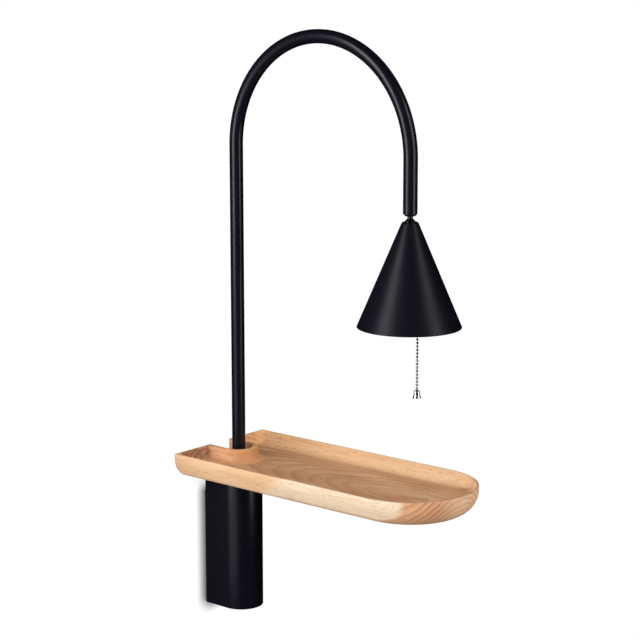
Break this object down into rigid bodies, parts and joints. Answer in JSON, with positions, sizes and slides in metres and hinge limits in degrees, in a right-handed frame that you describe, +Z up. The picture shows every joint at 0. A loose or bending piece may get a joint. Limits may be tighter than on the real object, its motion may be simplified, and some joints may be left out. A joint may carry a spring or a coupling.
{
  "type": "wall lamp with shelf",
  "caption": "Wall lamp: a tube arm bends over a wooden shelf tray and carries a cone shade on a ball joint with a pull chain.",
  "frame": {"origin": "on the wall, in the middle of the wall box: the middle of the four wall screws", "axes": "+Y into the wall, the lamp stands out towards -Y; +X to the right seen from the front; +Z up"},
  "size_m": [0.156, 0.37, 0.699],
  "materials": {
    "black_metal": "satin powder coat",
    "shade_metal": "satin powder coat",
    "steel": "zinc plated",
    "dark_steel": "black oxide, satin",
    "wood": "oiled, satin",
    "brass": "plain",
    "nylon": "moulded",
    "dark_nylon": "moulded",
    "dark_plastic": "moulded",
    "rubber": "matt",
    "cable": "smooth jacket",
    "white_plastic": "moulded",
    "nickel": "nickel plated",
    "ceramic": "matt",
    "bulb_glass": "frosted",
    "led": "phosphor coated"
  },
  "bodies": {
    "base": {"wall_plate": "steel", "gussets": "steel", "tray_plate": "black_metal", "arm_socket": "steel", "upper_bush": "dark_nylon", "lower_bush": "nylon", "foot_bracket": "steel", "thrust_washer": "nylon", "brake_pad": "nylon", "tension_screw": "steel", "housing": "black_metal", "housing_base": "black_metal", "housing_screws": "dark_steel", "inlet_grommet": "rubber", "earth_screw": "brass", "terminal_block": "white_plastic", "terminal_screws": "brass", "cable_clamp": "nylon", "clamp_screws": "steel", "lamp_lead": "cable", "tray": "wood", "tray_inserts": "brass", "tray_screws": "dark_steel"},
    "arm": {"arm_tube": "black_metal", "stop_pin": "steel", "arm_cable": "cable", "joint_body": "steel", "joint_ring": "black_metal", "spring_washer": "steel"},
    "ball_cup": {"joint_cup": "nylon"},
    "head": {"ball_stem": "dark_steel", "stem_cable": "cable", "shade": "shade_metal", "shade_nut": "steel", "lamp_bracket": "steel", "bracket_nuts": "steel", "lamp_socket": "ceramic", "socket_screws": "steel", "bulb_base": "ceramic", "bulb_pins": "steel", "bulb_cover": "bulb_glass", "led_core": "led", "switch_body": "dark_plastic", "switch_spout": "nickel", "switch_screw": "steel", "switch_spring": "steel", "switch_wire": "cable"},
    "slider": {"switch_slider": "brass"},
    "link": {"swing_link": "nickel"},
    "chain": {"pull_chain": "nickel", "chain_fob": "nickel"}
  },
  "joints": [
    {"name": "arm_swivel", "type": "hinge", "parent": "base", "child": "arm", "pos_m": [0, -0.032, 0], "axis": [0, 0, 1], "range_deg": [-75, 75]},
    {"name": "head_turn", "type": "hinge", "parent": "arm", "child": "ball_cup", "pos_m": [0, -0.29, 0.422], "axis": [0, 0, 1], "range_deg": [-170, 170]},
    {"name": "head_tilt", "type": "hinge", "parent": "ball_cup", "child": "head", "pos_m": [0, -0.29, 0.422], "axis": [1, 0, 0], "range_deg": [-16, 16]},
    {"name": "switch_pull", "type": "slide", "parent": "head", "child": "slider", "axis": [0, 0, -1], "range_m": [0, 0.008], "stiffness_N_per_m": 300, "springref_m": -0.004, "deforming": ["switch_spring"]},
    {"name": "chain_swing_front", "type": "hinge", "parent": "slider", "child": "link", "pos_m": [0.015, -0.29, 0.332], "axis": [1, 0, 0], "range_deg": [-25, 25]},
    {"name": "chain_swing_side", "type": "hinge", "parent": "link", "child": "chain", "pos_m": [0.015, -0.29, 0.327], "axis": [0, 1, 0], "range_deg": [-25, 8]}
  ]
}
